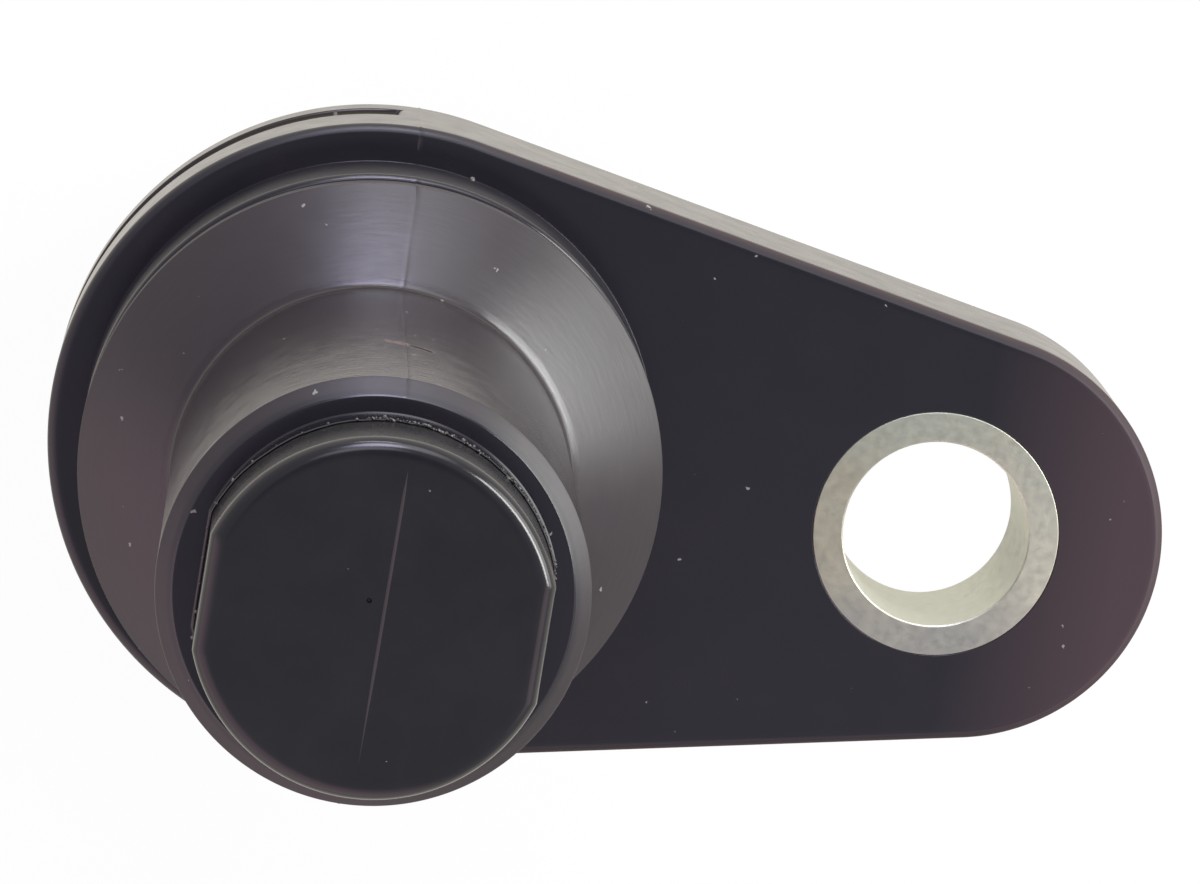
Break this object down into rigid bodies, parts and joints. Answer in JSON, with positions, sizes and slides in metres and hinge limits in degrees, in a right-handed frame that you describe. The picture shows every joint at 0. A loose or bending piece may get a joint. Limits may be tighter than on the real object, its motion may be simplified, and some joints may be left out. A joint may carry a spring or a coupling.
{
  "type": "crankshaft position sensor",
  "caption": "Overmoulded crankshaft position sensor with a bolt-on flange, a steel bolt bushing, a round barrel with a flat-sided sensing tip, and an oval connector socket.",
  "frame": {"origin": "on the barrel axis, in the plane of the flange's mounting face", "axes": "+Z along the barrel towards the sensing tip, +X from the barrel towards the bolt hole"},
  "size_m": [0.0392, 0.0224, 0.0605],
  "materials": {
    "black_housing": "satin",
    "zinc_steel": "zinc plated",
    "black_carrier": "satin",
    "chip_epoxy": "matt",
    "magnet_alloy": "ground",
    "tinned_bronze": "tin plated",
    "capacitor_ceramic": "matt"
  },
  "bodies": {
    "root": {"housing": "black_housing", "bolt_bushing": "zinc_steel", "sensor_carrier": "black_carrier", "hall_chip": "chip_epoxy", "bias_magnet": "magnet_alloy", "terminal_supply": "tinned_bronze", "terminal_ground": "tinned_bronze", "terminal_signal": "tinned_bronze", "supply_capacitor": "capacitor_ceramic", "signal_capacitor": "capacitor_ceramic"}
  },
  "joints": []
}
